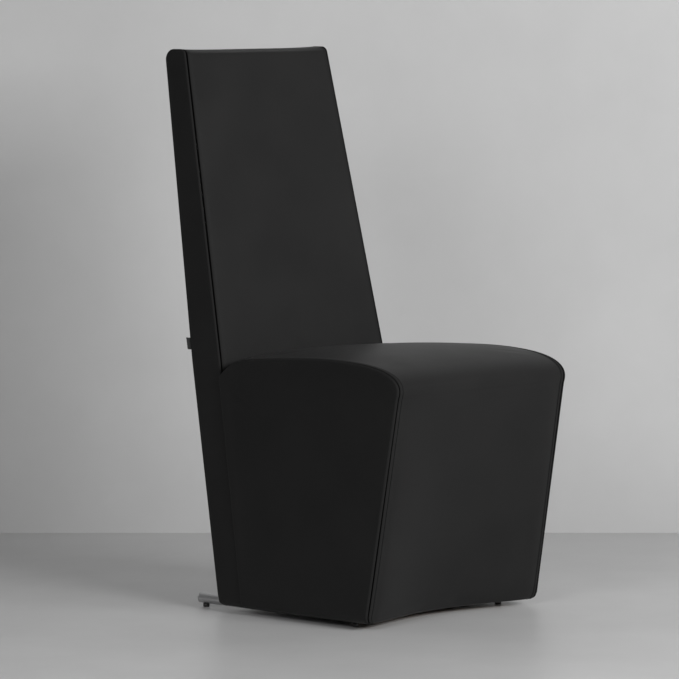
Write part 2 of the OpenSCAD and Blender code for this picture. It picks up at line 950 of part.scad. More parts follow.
// One row of a skin on the back, swelling forward and sagging in its middle
function back_row(y, z, rise, edge) = [
    for (i = [-half_columns - 1:half_columns + 1])
        let (
            x = edge * i / (half_columns + 1),
            middle = 1 - pow(x / back_half(z), 4)
        )
        [x, y - rise * middle, z - sag(z) * middle]
];

// Rows of the back's cover at depth d: from the rear seam over the top and down the face
function over_top_rows(d) =
    let (
        top = overall_height - d,
        top_front = [face_y(top, d), top],
        top_rear = [rear_y(top, d), top],
        points = concat(
            [[rear_y(rear_seam_level, d), rear_seam_level]],
            corner([rear_y(rear_seam_level, d), rear_seam_level], top_rear, top_front, top_rear_radius - d),
            corner(top_rear, top_front, [face_y(seat_back_height, d), seat_back_height], top_front_radius - d)
        )
    )
    [for (p = points) back_row(p[0], p[1], 0, back_half(p[1]) - leather - soft_gap)];
function face_rows(d) = [
    for (z = face_levels)
        back_row(face_y(z, d), z, swell(z), back_half(z) - leather - soft_gap)
];
rear_seam_level = overall_height - 2 * top_rear_radius;

module back_front_cover() {
    color(black_leather)
        skin(concat(over_top_rows(0), face_rows(0)), concat(over_top_rows(leather), face_rows(leather)));
}

module back_foam() {
    near = leather + soft_gap;
    top = overall_height - near;
    arc = corner([rear_y(top, near), top], [face_y(top, near), top],
                 [face_y(seat_back_height, near), seat_back_height], top_front_radius - near);
    depth = leather + back_foam_thickness - soft_gap;
    function edge(z) = back_half(z) - hem - soft_gap;
    color(cream_foam)
        skin(
            concat([for (p = arc) back_row(p[0], p[1], 0, edge(p[1]))],
                   [for (z = face_levels) back_row(face_y(z, near), z, swell(z), edge(z))]),
            concat([for (p = arc) back_row(face_y(p[1], depth), p[1], 0, edge(p[1]))],
                   [for (z = face_levels) back_row(face_y(z, depth), z, 0, edge(z))])
        );
}

module back_rear_cover() {
    color(black_leather)
        difference() {
            intersection() {
                across() intersection() {
                    difference() {
                        polygon(back_outline(0));
                        polygon(back_outline(leather));
                    }
                    polygon([
                        [rear_y(0, hem + leather), 0],
                        [rear_y(rear_seam_level - soft_gap, hem), rear_seam_level - soft_gap],
                        [rear_y(rear_seam_level - soft_gap, -cut), rear_seam_level - soft_gap],
                        [rear_y(0, -cut), 0]
                    ]);
                }
                through() union() {
                    polygon(back_section(leather + soft_gap));
                    polygon(mirrored([[back_half(0) - hem, 0], [back_half(0) - hem, 2 * hem]]));
                }
            }
            runner_openings();
        }
}

module back_side_cover(side) {
    color(black_leather)
        on_side(side)
            intersection() {
                across() polygon(back_outline(0));
                through() difference() {
                    polygon(back_section(0));
                    polygon(back_section(leather));
                    square([2 * (back_half(ground_clearance) - hem - board + cut), 3 * ground_clearance],
                           center = true);
                }
            }
}

// Folded loop caught in the rear seam of the right side, left blank
module seam_tab() {
    low = tab_level - tab_height / 2;
    high = tab_level + tab_height / 2;
    outer = back_half(tab_level) - leather;
    color(black_cloth)
        translate([-outer, 0, 0])
            rotate([90, 0, 90])
                linear_extrude(tab_thickness)
                    polygon([
                        [rear_y(low, -soft_gap), low],
                        [rear_y(high, -soft_gap), high],
                        [rear_y(high, -tab_reach), high],
                        [rear_y(low, -tab_reach), low]
                    ]);
}

// Runners, open where they pass the foot of the back
module runner_openings() {
    for (side = [-1, 1])
        translate([side * runner_spacing / 2, 0, runner_z])
            rotate([90, 0, 0])
                cylinder(h = 2 * overall_height, r = tube_diameter / 2 + soft_gap, center = true);
}

module runner(side) {
    bore = tube_diameter / 2 - tube_wall;
    length = runner_rear_y - runner_front_y;
    color(steel)
        difference() {
            translate([side * runner_spacing / 2, runner_rear_y, runner_z])
                rotate([90, 0, 0])
                    difference() {
                        cylinder(h = length, r = tube_diameter / 2);
                        translate([0, 0, -cut])
                            cylinder(h = length + 2 * cut, r = bore);
                    }
            runner_bolt_spots(side) {
                cylinder(h = base_width, r = runner_bolt_diameter / 2 + 3 * hole_gap);
                cylinder(h = runner_z, r = runner_head + 5 * hole_gap);
            }
            glide_spots(side)
                cylinder(h = runner_z, r = spigot + hole_gap);
        }
}

runner_head = runner_bolt_diameter * 0.83;
spigot = glide_diameter / 4;

module glide_spots(side) {
    for (y = [runner_front_y + glide_inset, runner_rear_y - glide_inset])
        translate([side * runner_spacing / 2, y, 0])
            children();
}

plug_lip = 1.5;
plug_length = glide_inset - spigot - 3 * plug_lip;

module runner_plugs() {
    color(steel)
        for (side = [-1, 1], end = [-1, 1])
            translate([side * runner_spacing / 2, end > 0 ? runner_rear_y : runner_front_y, runner_z])
                rotate([-90 * end, 0, 0]) {
                    cylinder(h = plug_lip, r = tube_diameter / 2);
                    translate([0, 0, -plug_length])
                        cylinder(h = plug_length, r = tube_diameter / 2 - tube_wall - hole_gap);
                }
}

// The bolt's head sits inside the tube, under its top wall
module runner_bolts() {
    inside = tube_diameter / 2 - tube_wall - hole_gap;
    head_top = runner_z + sqrt(inside * inside - runner_head * runner_head);
    head_height = runner_bolt_diameter * 0.7;
    color(zinc)
        for (side = [-1, 1])
            runner_bolt_spots(side) {
                translate([0, 0, head_top - head_height])
                    difference() {
                        cylinder(h = head_height, r = runner_head);
                        translate([0, 0, -cut])
                            cylinder(h = head_height / 2 + cut, r = runner_head * 0.45, $fn = 6);
                    }
                translate([0, 0, head_top])
                    cylinder(h = base_board_high + flange_thickness - head_top, r = runner_bolt_diameter / 2);
            }
}

module runner_nuts() {
    barrel_length = base_board_thickness * 0.6;
    color(zinc)
        for (side = [-1, 1])
            runner_bolt_spots(side)
                difference() {
                    union() {
                        translate([0, 0, base_board_high - barrel_length])
                            cylinder(h = barrel_length, r = nut_barrel);
                        translate([0, 0, base_board_high])
                            cylinder(h = flange_thickness, r = 2 * nut_barrel);
                    }
                    cylinder(h = base_width, r = runner_bolt_diameter / 2 + hole_gap);
                }
}

module glides() {
    chamfer = glide_height / 7;
    color(black_plastic)
        for (side = [-1, 1])
            glide_spots(side) {
                cylinder(h = chamfer, r1 = glide_diameter / 2 - chamfer, r2 = glide_diameter / 2);
                translate([0, 0, chamfer])
                    cylinder(h = glide_height - chamfer, r = glide_diameter / 2);
                cylinder(h = glide_height + 3 * tube_wall, r = spigot);
            }
}

seat_cover();
seat_side_cover(1);  // seat_side_cover_left
seat_side_cover(-1);  // seat_side_cover_right
back_front_cover();
back_rear_cover();
back_side_cover(1);  // back_side_cover_left
back_side_cover(-1);  // back_side_cover_right
seam_tab();
seat_foam();
front_foam();
seat_side_padding(1);  // seat_side_padding_left
seat_side_padding(-1);  // seat_side_padding_right
back_foam();
back_side_padding(1);  // back_side_padding_left
back_side_padding(-1);  // back_side_padding_right
rear_padding();
top_padding();
seat_webbing_lengthwise();
seat_webbing_crosswise();
back_webbing();
dust_cover();
seat_side_board(1);  // seat_side_board_left
seat_side_board(-1);  // seat_side_board_right
seat_front_rail();
seat_rear_rail();
base_board();
base_front_rail();
base_rear_rail();
front_panel();
corner_blocks();
back_upright(1);  // back_upright_left
back_upright(-1);  // back_upright_right
core_rail(top_rail_level);  // back_top_rail
core_rail(middle_rail_level);  // back_middle_rail
joint_core_rail(seat_joint_z, rail_height);  // back_seat_rail
joint_core_rail(foot_joint_z, foot_rail_height);  // back_foot_rail
rear_panel();
seat_frame_screws();
back_frame_screws();
joint_bolts();
joint_nuts();
runner(1);  // runner_left
runner(-1);  // runner_right
runner_plugs();
runner_bolts();
runner_nuts();
glides();
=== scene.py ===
import math

import bmesh
import bpy
import numpy as np
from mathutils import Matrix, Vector
from mathutils.kdtree import KDTree


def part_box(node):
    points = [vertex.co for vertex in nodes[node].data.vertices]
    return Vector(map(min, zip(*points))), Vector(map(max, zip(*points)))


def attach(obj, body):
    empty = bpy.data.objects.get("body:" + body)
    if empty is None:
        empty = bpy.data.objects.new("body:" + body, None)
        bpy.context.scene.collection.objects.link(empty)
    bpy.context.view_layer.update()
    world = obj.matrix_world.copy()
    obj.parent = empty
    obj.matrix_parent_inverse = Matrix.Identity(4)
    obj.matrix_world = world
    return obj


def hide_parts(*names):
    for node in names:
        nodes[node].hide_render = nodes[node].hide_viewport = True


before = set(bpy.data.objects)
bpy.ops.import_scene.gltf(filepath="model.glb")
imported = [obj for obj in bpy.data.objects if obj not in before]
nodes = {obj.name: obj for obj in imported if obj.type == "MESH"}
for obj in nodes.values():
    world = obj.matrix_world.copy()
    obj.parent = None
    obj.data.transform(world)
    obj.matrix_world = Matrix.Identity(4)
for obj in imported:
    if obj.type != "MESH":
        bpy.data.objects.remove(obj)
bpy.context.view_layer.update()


# The seat and the back each have a frame of beech rails between plywood boards, glued and screwed.
# The front panel is bent plywood and the rear one pressed board. Leather and foam hide all of it,
# so the timber shows only where the chair is opened.
grain_height = 0.0005


def shader_of(material):
    return material.node_tree.nodes["Principled BSDF"]


def finish_for(name, roughness, metallic=0.0):
    material = bpy.data.materials.new(name)
    material.use_nodes = True
    shader = shader_of(material)
    shader.inputs["Roughness"].default_value = roughness
    shader.inputs["Metallic"].default_value = metallic
    return material


def node_in(material, kind, **values):
    """A new node in a material, with its sockets and settings filled in by name."""
    node = material.node_tree.nodes.new(kind)
    for name, value in values.items():
        if name in node.inputs:
            node.inputs[name].default_value = value
        else:
            setattr(node, name, value)
    return node


def link_in(material, start, end):
    material.node_tree.links.new(start, end)


def place_in(material, stretch=(1, 1, 1)):
    """The place on the piece, in metres, stretched for a pattern that runs one way."""
    place = node_in(material, "ShaderNodeTexCoord")
    mapping = node_in(material, "ShaderNodeMapping", Scale=stretch)
    link_in(material, place.outputs["Object"], mapping.inputs["Vector"])
    return mapping.outputs["Vector"]


def blend_colours(material, amount, dark, light, low=0.3, high=0.7):
    """Dark where the amount is low and light where it is high."""
    ramp = node_in(material, "ShaderNodeValToRGB")
    ramp.color_ramp.elements[0].position = low
    ramp.color_ramp.elements[0].color = (*dark, 1)
    ramp.color_ramp.elements[1].position = high
    ramp.color_ramp.elements[1].color = (*light, 1)
    link_in(material, amount, ramp.inputs["Fac"])
    return ramp.outputs["Color"]


def raise_surface(material, amount, strength, distance, before=None):
    """Small relief from the amount, laid over the relief before it where there is one."""
    bump = node_in(material, "ShaderNodeBump", Strength=strength, Distance=distance)
    link_in(material, amount, bump.inputs["Height"])
    if before:
        link_in(material, before, bump.inputs["Normal"])
    link_in(material, bump.outputs["Normal"], shader_of(material).inputs["Normal"])
    return bump.outputs["Normal"]


def grained(name, dark, light, scale, roughness, bump, stretch=(1, 1, 1), metallic=0.0):
    """A finish with one noise that colours and raises it, such as wood, cloth or brushed metal."""
    material = finish_for(name, roughness, metallic)
    noise = node_in(material, "ShaderNodeTexNoise", Scale=scale, Detail=6.0, Roughness=0.6)
    link_in(material, place_in(material, stretch), noise.inputs["Vector"])
    colour = blend_colours(material, noise.outputs["Fac"], dark, light)
    link_in(material, colour, shader_of(material).inputs["Base Color"])
    raise_surface(material, noise.outputs["Fac"], bump, grain_height)
    return material


def dress(names, material):
    for name in names.split():
        nodes[name].data.materials.clear()
        nodes[name].data.materials.append(material)


beech = grained("sawn_beech", (0.42, 0.25, 0.13), (0.62, 0.42, 0.25),
                scale=6, roughness=0.6, bump=0.3, stretch=(1, 14, 14))
plywood = grained("sanded_plywood", (0.5, 0.36, 0.2), (0.7, 0.55, 0.36),
                  scale=7, roughness=0.62, bump=0.25, stretch=(12, 12, 1))
pressed_board = grained("pressed_board", (0.12, 0.07, 0.035), (0.2, 0.12, 0.07),
                        scale=300, roughness=0.55, bump=0.3)
dress("seat_front_rail seat_rear_rail base_front_rail base_rear_rail corner_blocks back_top_rail "
      "back_middle_rail back_seat_rail back_foot_rail", beech)
dress("seat_side_board_left seat_side_board_right base_board front_panel back_upright_left "
      "back_upright_right", plywood)
dress("rear_panel", pressed_board)


# Zinc-plated screws, bolts and insert nuts hold the frames together, join the back to the seat
# and carry the runners. The plating is dull and slightly uneven.
zinc = grained("zinc_plating", (0.4, 0.4, 0.38), (0.62, 0.62, 0.6),
               scale=900, roughness=0.38, bump=0.1, metallic=1.0)
dress("seat_frame_screws back_frame_screws joint_bolts joint_nuts runner_bolts runner_nuts",
      zinc)


# Elastic straps, woven from rubber and jute, are stretched over the rails and stapled down.
# They carry the seat foam, and a second set carries the foam of the back.
wave_turn = 6.28
third_direction_share = 0.33


def woven(name, dark, light, threads, roughness):
    """Threads that cross in the piece's own directions, with the given number to a metre."""
    material = finish_for(name, roughness)
    heights = []
    for direction in ("X", "Y", "Z"):
        wave = node_in(material, "ShaderNodeTexWave",
                       bands_direction=direction, Scale=threads / wave_turn)
        link_in(material, place_in(material), wave.inputs["Vector"])
        heights.append(wave.outputs["Fac"])
    total = node_in(material, "ShaderNodeMath", operation="ADD")
    link_in(material, heights[0], total.inputs[0])
    link_in(material, heights[1], total.inputs[1])
    weave = node_in(material, "ShaderNodeMath", operation="MULTIPLY_ADD")
    link_in(material, heights[2], weave.inputs[0])
    weave.inputs[1].default_value = third_direction_share
    link_in(material, total.outputs[0], weave.inputs[2])
    colour = blend_colours(material, weave.outputs[0], dark, light, low=0.2, high=1.0)
    link_in(material, colour, shader_of(material).inputs["Base Color"])
    raise_surface(material, weave.outputs[0], strength=0.6, distance=0.0004)
    return material


strap = woven("elastic_strap", (0.16, 0.09, 0.045), (0.34, 0.22, 0.12), threads=700, roughness=0.8)
dress("seat_webbing_lengthwise seat_webbing_crosswise back_webbing", strap)


# The foam is cut cold foam, cream and open celled. The wadding on the sides is a white fleece
# that keeps the leather off the boards. Both are glued on.
foam = finish_for("cut_foam", roughness=0.9)
cells = node_in(foam, "ShaderNodeTexVoronoi", Scale=700.0)
link_in(foam, place_in(foam), cells.inputs["Vector"])
foam_colour = blend_colours(foam, cells.outputs["Distance"], (0.6, 0.52, 0.33), (0.86, 0.8, 0.6),
                            low=0.0, high=0.6)
link_in(foam, foam_colour, shader_of(foam).inputs["Base Color"])
raise_surface(foam, cells.outputs["Distance"], strength=0.6, distance=0.001)
fleece = grained("white_fleece", (0.7, 0.7, 0.68), (0.9, 0.9, 0.88),
                 scale=260, roughness=0.95, bump=0.8)
dress("seat_foam front_foam back_foam", foam)
dress("seat_side_padding_left seat_side_padding_right back_side_padding_left back_side_padding_right "
      "rear_padding top_padding", fleece)


# Side covers of the seat: black cow hide, cut to the wedge, sewn to the seat cover 6 mm in from the
# corner and pulled under the side boards, where it is stapled. The hide is matte, with a fine pebble.
foot = 0.013
top = 1.0515
hem = 0.014
joint_gap = 0.0001
hide_thickness = 0.0012
seat_back_height = 0.470
seat_front_height = 0.429
seat_base_half = 0.2425
seat_taper = 0.0065
seat_middle = (0, -0.06, 0.25)
corner_drop = 0.026
corner_drop_reach = 0.075
corner_drop_curve = 2.5
rear_foot_y = 0.134749
roll_end_y = -0.309492
base_front_y = -0.238492
joint_y = 0.141508
lean = math.tan(math.radians(9.9))
joint_lean = math.tan(math.radians(8.434))
back_levels = (foot, seat_back_height, top)
back_thickness = (0.061, 0.073, 0.053)

# the seat's side line is one curve from the joint to the end of the front roll, led by two places
# off it: one over the rear of the seat, for its rise, and one before the roll, for its round
rise_reach = 0.1335
rise_height = 0.486
roll_reach = 0.490
roll_height = 0.520
seat_leads = np.array([
    (joint_y, seat_back_height),
    (joint_y - rise_reach, rise_height),
    (joint_y - roll_reach, roll_height),
    (roll_end_y, seat_front_height),
])


def rear_y(z):
    return rear_foot_y + (z - foot) * lean


def face_y(z):
    return rear_y(z) - np.interp(z, back_levels, back_thickness)


def front_y(z):
    return np.interp(z, [foot, seat_front_height], [base_front_y, roll_end_y])


def foot_draw(z):
    """How far the rounded foot is drawn in at a height."""
    return hem - np.sqrt(hem ** 2 - np.clip(hem + foot - z, 0, hem) ** 2)


def straight_half(z):
    return seat_base_half - seat_taper * (z - foot) / (seat_back_height - foot)


def seat_half(z):
    return straight_half(z) - foot_draw(z)


def line_points(start, end, count):
    """Points from start towards end, which isn't among them."""
    return [tuple(np.array(start) + (np.array(end) - start) * i / count) for i in range(count)]


def corner_points(before, at, after, radius, count):
    """A round corner at a point of the side view."""
    before, at, after = (np.array(p, float) for p in (before, at, after))
    a = (before - at) / np.linalg.norm(before - at)
    b = (after - at) / np.linalg.norm(after - at)
    half_angle = math.acos(a @ b) / 2
    centre = at + (a + b) / np.linalg.norm(a + b) * radius / math.sin(half_angle)
    start = at + a * radius / math.tan(half_angle) - centre
    end = at + b * radius / math.tan(half_angle) - centre
    turns = [start + (end - start) * i / count for i in range(count + 1)]
    return [tuple(centre + t / np.linalg.norm(t) * radius) for t in turns]


def side_drop(y):
    """How far the seat's side line is drawn down beside the back."""
    return corner_drop * np.clip(1 - (joint_y - y) / corner_drop_reach, 0, 1) ** corner_drop_curve


def seat_line(t):
    """Side line of the seat, from the back over the top to the end of the front roll."""
    weights = ((1 - t) ** 3, 3 * (1 - t) ** 2 * t, 3 * (1 - t) * t ** 2, t ** 3)
    y, z = sum(w * p for w, p in zip(weights, seat_leads))
    return y - joint_gap - side_drop(y) * joint_lean, z - side_drop(y)


def outward(points):
    """Normals of a closed side outline that runs anticlockwise over the top to the front."""
    points = np.array(points)
    way = np.roll(points, -1, 0) - np.roll(points, 1, 0)
    way /= np.linalg.norm(way, axis=1)[:, None]
    return np.stack([way[:, 1], -way[:, 0]], 1)


seat_rear_round = 0.0035
seat_foot_round = 0.006
seat_top_steps = np.linspace(0.01, 1, 90)
seat_foot_front = (front_y(foot), foot)
seat_foot_rear = (face_y(foot) - joint_gap, foot)
seat_top_rear = seat_line(0)
seat_top_next = seat_line(0.02)
seat_roll_end = seat_line(1)
seat_joint_line = line_points(seat_foot_rear, seat_top_rear, count=70)
seat_joint_corner = corner_points(seat_foot_rear, seat_top_rear, seat_top_next, seat_rear_round, count=6)
seat_top_line = [seat_line(t) for t in seat_top_steps]
seat_front_line = line_points(seat_roll_end, seat_foot_front, count=66)[1:-1]
seat_toe = corner_points(seat_roll_end, seat_foot_front, seat_foot_rear, seat_foot_round, count=8)
seat_foot_line = line_points(seat_foot_front, seat_foot_rear, count=60)[2:-2]
seat_heel = corner_points(seat_foot_front, seat_foot_rear, seat_top_rear, seat_foot_round, count=4)

# each part of the outline is (points, kind of edge)
seat_parts = [
    (seat_joint_corner, "joint"),
    (seat_top_line, "seam"),
    (seat_front_line, "seam"),
    (seat_toe, "seam"),
    (seat_foot_line, "hem"),
    (seat_heel, "hem"),
    (seat_joint_line[2:-1], "joint"),
]
# each kind of edge is (radius of its round, how far the hide goes on past it, depth of its crease,
# 1 if it is sewn)
seat_edges = {
    "seam": (0.0040, 0.0020, 0.0011, 1.0),
    "hem": (0.0015, 0.0150, 0.0, 0.0),
    "joint": (0.0020, 0.0064, 0.0, 0.0),
}
seat_inset = 0.0060


def stations(parts, edges):
    """Every place along a side outline: its point, its normal, and the sizes of its edge there."""
    points = np.array([p for part, kind in parts for p in part])
    sizes = np.array([edges[kind] for part, kind in parts for _ in part])
    for _ in range(4):
        sizes = (np.roll(sizes, 1, 0) + 2 * sizes + np.roll(sizes, -1, 0)) / 4
    return points, outward(points), sizes


# A side cover's rings of points start in the seam, where each is (share of the hide that goes on,
# share of the crease's depth). They go on round the corner, and over the panel by shares of the way
# to its middle. At each ring the hide is folded by a share, which is 1 in the crease, where the faces are
# painted black as shade.
groove_shares = ((1.3, 1.15), (0.65, 1.0), (0.35, 0.5), (0.1, 0.05))
round_angles = np.radians(np.linspace(0, 90, 6))
panel_shares = (0.012, 0.03, 0.06, 0.1, 0.16, 0.24, 0.34, 0.45, 0.57, 0.7, 0.84, 1.0)
ring_fold_shares = np.array([1, 1, 1, 0.9, 0.9, 0.9, 0.9, 0.9, 0.8, 0.5] + [0] * len(panel_shares))
full_swell_share = 1 / 8


def side_panel(parts, edges, half, side, spine, swell):
    """Rings of points from the seam, round the corner and over the panel to its spine, with the
    folds at each."""
    points, normals, sizes = stations(parts, edges)
    radius, tucked, sunk, sewn = sizes.T
    rings = []
    for share, depth_share in groove_shares:
        rings.append((radius + tucked * share, sunk * depth_share))
    for angle in round_angles:
        rings.append((radius * (1 - math.sin(angle)), radius * (1 - math.cos(angle))))
    grid = []
    for inset, depth in rings:
        at = points - normals * depth[:, None]
        x = side * (half(at[:, 1]) - inset)
        grid.append(np.column_stack([x, at]))
    edge = points - normals * radius[:, None]
    middle = np.array([spine(z) for _, z in edge])
    for share in panel_shares:
        at = edge + (middle - edge) * share
        bulge = np.array([swell(y, z) for y, z in at]) * min(1, share / full_swell_share)
        grid.append(np.column_stack([side * (half(at[:, 1]) + bulge), at]))
    return np.array(grid), ring_fold_shares[:, None] * sewn


def mesh_from(name, grid, closed, centre, weld=0.0):
    """A sheet of leather through a grid of points, with its faces turned away from the centre.
    The last row's points are joined where they lie within the weld's distance."""
    rows, columns = grid.shape[:2]
    last = columns if closed else columns - 1
    faces = [
        (r * columns + c, r * columns + (c + 1) % columns,
         (r + 1) * columns + (c + 1) % columns, (r + 1) * columns + c)
        for r in range(rows - 1) for c in range(last)
    ]
    mesh = bpy.data.meshes.new(name)
    mesh.from_pydata([tuple(p) for p in grid.reshape(-1, 3)], [], faces)
    mesh.update()
    if weld:
        body = bmesh.new()
        body.from_mesh(mesh)
        bmesh.ops.remove_doubles(body, verts=list(body.verts)[-columns:], dist=weld)
        body.to_mesh(mesh)
        body.free()
    facing = sum(f.normal.dot(f.center - Vector(centre)) * f.area for f in mesh.polygons)
    if facing < 0:
        mesh.flip_normals()
    mesh.polygons.foreach_set("use_smooth", [True] * len(mesh.polygons))
    piece = bpy.data.objects.new(name, mesh)
    bpy.context.scene.collection.objects.link(piece)
    return piece


padding_pressure = 3.0
cloth_frames = 20


def blown(grid, cap):
    """Runs a sheet of cloth, held along its edges, under the padding's pressure. Returns how far
    each of its points rises, which the cap limits."""
    rows, columns = grid.shape[:2]
    sheet = mesh_from("blown_sheet", grid, closed=False, centre=(0, 0, 0.25))
    held = sheet.vertex_groups.new(name="held")
    edge = [r * columns + c for r in range(rows) for c in range(columns)
            if r in (0, rows - 1) or c in (0, columns - 1)]
    held.add(edge, 1.0, "REPLACE")
    cloth = sheet.modifiers.new("padding", "CLOTH")
    cloth.settings.vertex_group_mass = "held"
    cloth.settings.quality = 6
    cloth.settings.tension_stiffness = 40
    cloth.settings.compression_stiffness = 40
    cloth.settings.shear_stiffness = 20
    cloth.settings.bending_stiffness = 2
    cloth.settings.use_pressure = True
    cloth.settings.uniform_pressure_force = padding_pressure
    cloth.settings.effector_weights.gravity = 0
    cloth.point_cache.frame_start = 1
    cloth.point_cache.frame_end = cloth_frames
    normals = np.array([v.normal for v in sheet.data.vertices]).reshape(rows, columns, 3)
    for number in range(1, cloth_frames + 1):
        bpy.context.scene.frame_set(number)
    bpy.context.view_layer.update()
    soft = sheet.evaluated_get(bpy.context.evaluated_depsgraph_get()).data
    moved = np.array([v.co for v in soft.vertices]).reshape(rows, columns, 3)
    rise = ((moved - grid) * normals).sum(2)
    bpy.data.objects.remove(sheet)
    bpy.context.scene.frame_set(1)
    for _ in range(2):
        inner = (rise[:-2, 1:-1] + rise[2:, 1:-1] + rise[1:-1, :-2] + rise[1:-1, 2:]) / 4
        rise[1:-1, 1:-1] = (rise[1:-1, 1:-1] + inner) / 2
    return cap * np.tanh(np.maximum(rise, 0) / cap)


near_points = 4
near_softening = 0.001


def look_up(grid, rise):
    """The rise of a blown side sheet near a place of the side view, from its nearest points."""
    tree = KDTree(rise.size)
    for i, (_, y, z) in enumerate(grid.reshape(-1, 3)):
        tree.insert((y, z, 0), i)
    tree.balance()
    values = rise.reshape(-1)

    def near(y, z):
        found = tree.find_n((y, z, 0), near_points)
        weights = [1 / (distance + near_softening) for _, _, distance in found]
        return sum(w * values[i] for w, (_, i, _) in zip(weights, found)) / sum(weights)

    return near


def grey(level):
    return (level, level, level)


def black_hide():
    """Matte black hide: a fine pebble, soft folds, and a duller skin where it is folded at a seam."""
    material = finish_for("black_hide", roughness=0.5)
    shader = shader_of(material)
    shader.inputs["Specular IOR Level"].default_value = 0.2
    shader.inputs["Sheen Weight"].default_value = 0.01
    shader.inputs["Sheen Roughness"].default_value = 0.45
    place = place_in(material)
    cloudy = node_in(material, "ShaderNodeTexNoise", Scale=9.0, Detail=5.0, Roughness=0.55)
    link_in(material, place, cloudy.inputs["Vector"])
    colour = blend_colours(material, cloudy.outputs["Fac"], grey(0.0076), (0.0101, 0.0100, 0.0099))
    link_in(material, colour, shader.inputs["Base Color"])
    gloss = node_in(material, "ShaderNodeMapRange")
    gloss.inputs["To Min"].default_value = 0.44
    gloss.inputs["To Max"].default_value = 0.54
    link_in(material, cloudy.outputs["Fac"], gloss.inputs["Value"])
    folded = node_in(material, "ShaderNodeAttribute", attribute_name="fold")
    duller = node_in(material, "ShaderNodeMath", operation="MULTIPLY_ADD", use_clamp=True)
    duller.inputs[1].default_value = 0.4
    link_in(material, folded.outputs["Fac"], duller.inputs[0])
    link_in(material, gloss.outputs["Result"], duller.inputs[2])
    link_in(material, duller.outputs[0], shader.inputs["Roughness"])
    folds = node_in(material, "ShaderNodeTexNoise", Scale=38.0, Detail=3.0, Distortion=0.6)
    link_in(material, place, folds.inputs["Vector"])
    first = raise_surface(material, folds.outputs["Fac"], strength=0.05, distance=0.002)
    pebble = node_in(material, "ShaderNodeTexVoronoi", Scale=850.0, feature="SMOOTH_F1")
    link_in(material, place, pebble.inputs["Vector"])
    raise_surface(material, pebble.outputs["Distance"], strength=0.22, distance=0.0003, before=first)
    return material


hide = black_hide()
# Near-black, matte and without shine: painted shade for the creases beside the seams, and for the sunk
# row of stitches, where the dark thread line is deepened with painted shade
painted_seam_shade = grained("painted_seam_shade", grey(0.001), grey(0.003), scale=900, roughness=0.9, bump=0.2)
shader_of(painted_seam_shade).inputs["Specular IOR Level"].default_value = 0


def mark_folds_and_painted_shade(piece, amounts):
    """Keeps with each point how far the hide is folded there, up to 1. Faces between points of 1 lie in a
    crease or a row of stitches, and get the near-black finish of painted shade."""
    attribute = piece.data.attributes.new("fold", "FLOAT", "POINT")
    values = np.asarray(amounts, np.float32).reshape(-1)[:len(piece.data.vertices)]
    attribute.data.foreach_set("value", values)
    for face in piece.data.polygons:
        face.material_index = int(min(values[i] for i in face.vertices) == 1)


def make_leather(piece, fill, *covers):
    piece.data.materials.append(hide)
    # the second finish is painted shade, for the faces in the creases and rows of stitches
    piece.data.materials.append(painted_seam_shade)
    solid = piece.modifiers.new("hide_thickness", "SOLIDIFY")
    solid.thickness = hide_thickness
    solid.offset = -1
    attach(piece, "root")
    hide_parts(*covers)


side_sheet_rows = 56
side_sheet_columns = 60
side_sheet_end_share = 0.985


def seat_sheet(side):
    """A coarse sheet over the seat's side: from rear to front, and from the foot to the top."""
    low_rear = np.array([face_y(foot + hem), foot + hem])
    low_front = np.array([front_y(foot + hem), foot + hem])
    rows = []
    for share in np.linspace(0, 1, side_sheet_rows):
        upper = np.array(seat_line(share * side_sheet_end_share))
        lower = low_rear + (low_front - low_rear) * share
        rows.append([lower + (upper - lower) * t for t in np.linspace(0, 1, side_sheet_columns)])
    flat = np.array(rows)
    x = side * seat_half(flat[:, :, 1])
    return np.dstack([x, flat])


def spine_level(z, low, high):
    """Height of a side's middle line, in steps of 10 mm that the points of both its edges meet."""
    return round(min(high, max(low, z)), 2)


seat_spine_low = 0.16
seat_spine_high = 0.32
spine_weld = 0.0004


def seat_spine(z):
    return seat_middle[1], spine_level(z, seat_spine_low, seat_spine_high)


side_sheet = seat_sheet(-1)
seat_side_swell = look_up(side_sheet, blown(side_sheet, cap=0.0028))
for side, name in ((-1, "right"), (1, "left")):
    panel, folds = side_panel(seat_parts, seat_edges, seat_half, side, seat_spine, seat_side_swell)
    cover = mesh_from(f"seat_side_hide_{name}", panel, closed=True, centre=seat_middle, weld=spine_weld)
    mark_folds_and_painted_shade(cover, folds)
    make_leather(cover, 0.85, f"seat_side_cover_{name}")


# Seat cover: one hide from the joint with the back over the crowned top, down the hollow front and
# under the front rail. Its two long edges are turned in and sewn to the side covers.
seat_crown = 0.009
crown_curve = 3
heel_recess = 0.034
hollow_margin = 0.0292
hollow_curve = 1.5


def hollow(x, z):
    """How far the front is drawn in, most in the middle of the foot."""
    reach = straight_half(z) - hollow_margin
    share = np.clip(1 - (x / reach) ** 2, 0, 1) ** hollow_curve
    return heel_recess * np.clip((seat_front_height - z) / (seat_front_height - foot), 0, 1) * share


